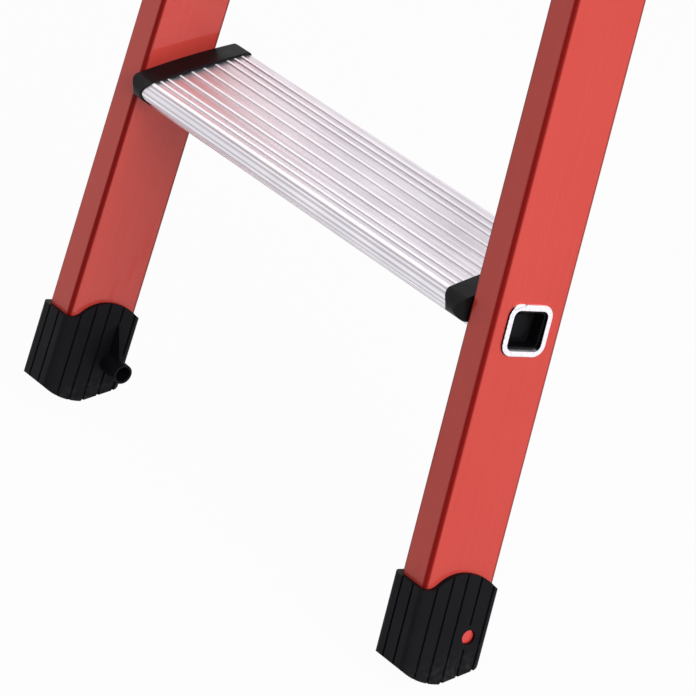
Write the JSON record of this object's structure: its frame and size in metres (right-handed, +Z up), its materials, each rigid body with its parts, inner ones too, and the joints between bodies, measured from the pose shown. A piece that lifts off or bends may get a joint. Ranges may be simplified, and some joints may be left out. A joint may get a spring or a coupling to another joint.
{
  "type": "double-sided stepladder",
  "caption": "Free-standing double-sided stepladder with flared red glass-fibre stiles, ribbed aluminium treads, black end caps and ribbed feet, folding at its top hinges.",
  "frame": {"origin": "on the floor midway between the four feet", "axes": "+X across the ladder to the right of someone who climbs the front section, +Y from the front section to the rear one, +Z up"},
  "size_m": [0.4458, 0.852, 1.0011],
  "materials": {
    "stile_red": "satin pultruded glass-fibre profile, coral red",
    "tread_aluminium": "bright extruded, mill finish",
    "black_plastic": "moulded, fine grain",
    "foot_rubber": "moulded, ribbed",
    "pin_red": "moulded, glossy",
    "head_plastic": "moulded glass-filled nylon, fine grain",
    "zinc_steel": "bright zinc plated",
    "strap_webbing": "woven black webbing"
  },
  "bodies": {
    "front_section": {"front_foot_left": "foot_rubber", "front_foot_pin_left": "pin_red", "front_foot_pin_right": "pin_red", "front_foot_right": "foot_rubber", "front_head_rivets": "zinc_steel", "front_hinge_head_left": "head_plastic", "front_hinge_head_right": "head_plastic", "front_stile_left": "stile_red", "front_stile_right": "stile_red", "front_strap_bolt_left": "zinc_steel", "front_strap_bolt_right": "zinc_steel", "front_tread_1": "tread_aluminium", "front_tread_2": "tread_aluminium", "front_tread_3": "tread_aluminium", "front_tread_4": "tread_aluminium", "front_tread_cap_left_1": "black_plastic", "front_tread_cap_left_2": "black_plastic", "front_tread_cap_left_3": "black_plastic", "front_tread_cap_left_4": "black_plastic", "front_tread_cap_right_1": "black_plastic", "front_tread_cap_right_2": "black_plastic", "front_tread_cap_right_3": "black_plastic", "front_tread_cap_right_4": "black_plastic", "front_tube_plugs_left": "black_plastic", "front_tube_plugs_right": "black_plastic", "hinge_clip_left": "zinc_steel", "hinge_clip_right": "zinc_steel", "hinge_pin_left": "zinc_steel", "hinge_pin_right": "zinc_steel", "strap_left": "strap_webbing", "strap_right": "strap_webbing"},
    "rear_section": {"rear_foot_left": "foot_rubber", "rear_foot_pin_left": "pin_red", "rear_foot_pin_right": "pin_red", "rear_foot_right": "foot_rubber", "rear_head_rivets": "zinc_steel", "rear_hinge_head_left": "head_plastic", "rear_hinge_head_right": "head_plastic", "rear_stile_left": "stile_red", "rear_stile_right": "stile_red", "rear_strap_bolt_left": "zinc_steel", "rear_strap_bolt_right": "zinc_steel", "rear_tread_1": "tread_aluminium", "rear_tread_2": "tread_aluminium", "rear_tread_3": "tread_aluminium", "rear_tread_4": "tread_aluminium", "rear_tread_cap_left_1": "black_plastic", "rear_tread_cap_left_2": "black_plastic", "rear_tread_cap_left_3": "black_plastic", "rear_tread_cap_left_4": "black_plastic", "rear_tread_cap_right_1": "black_plastic", "rear_tread_cap_right_2": "black_plastic", "rear_tread_cap_right_3": "black_plastic", "rear_tread_cap_right_4": "black_plastic", "rear_tube_plugs_left": "black_plastic", "rear_tube_plugs_right": "black_plastic"}
  },
  "joints": [
    {"name": "fold", "type": "hinge", "parent": "front_section", "child": "rear_section", "pos_m": [0, 0, 0.96089], "axis": [1, 0, 0], "range_deg": [-40, 0], "deforming": ["strap_left", "strap_right"]}
  ]
}
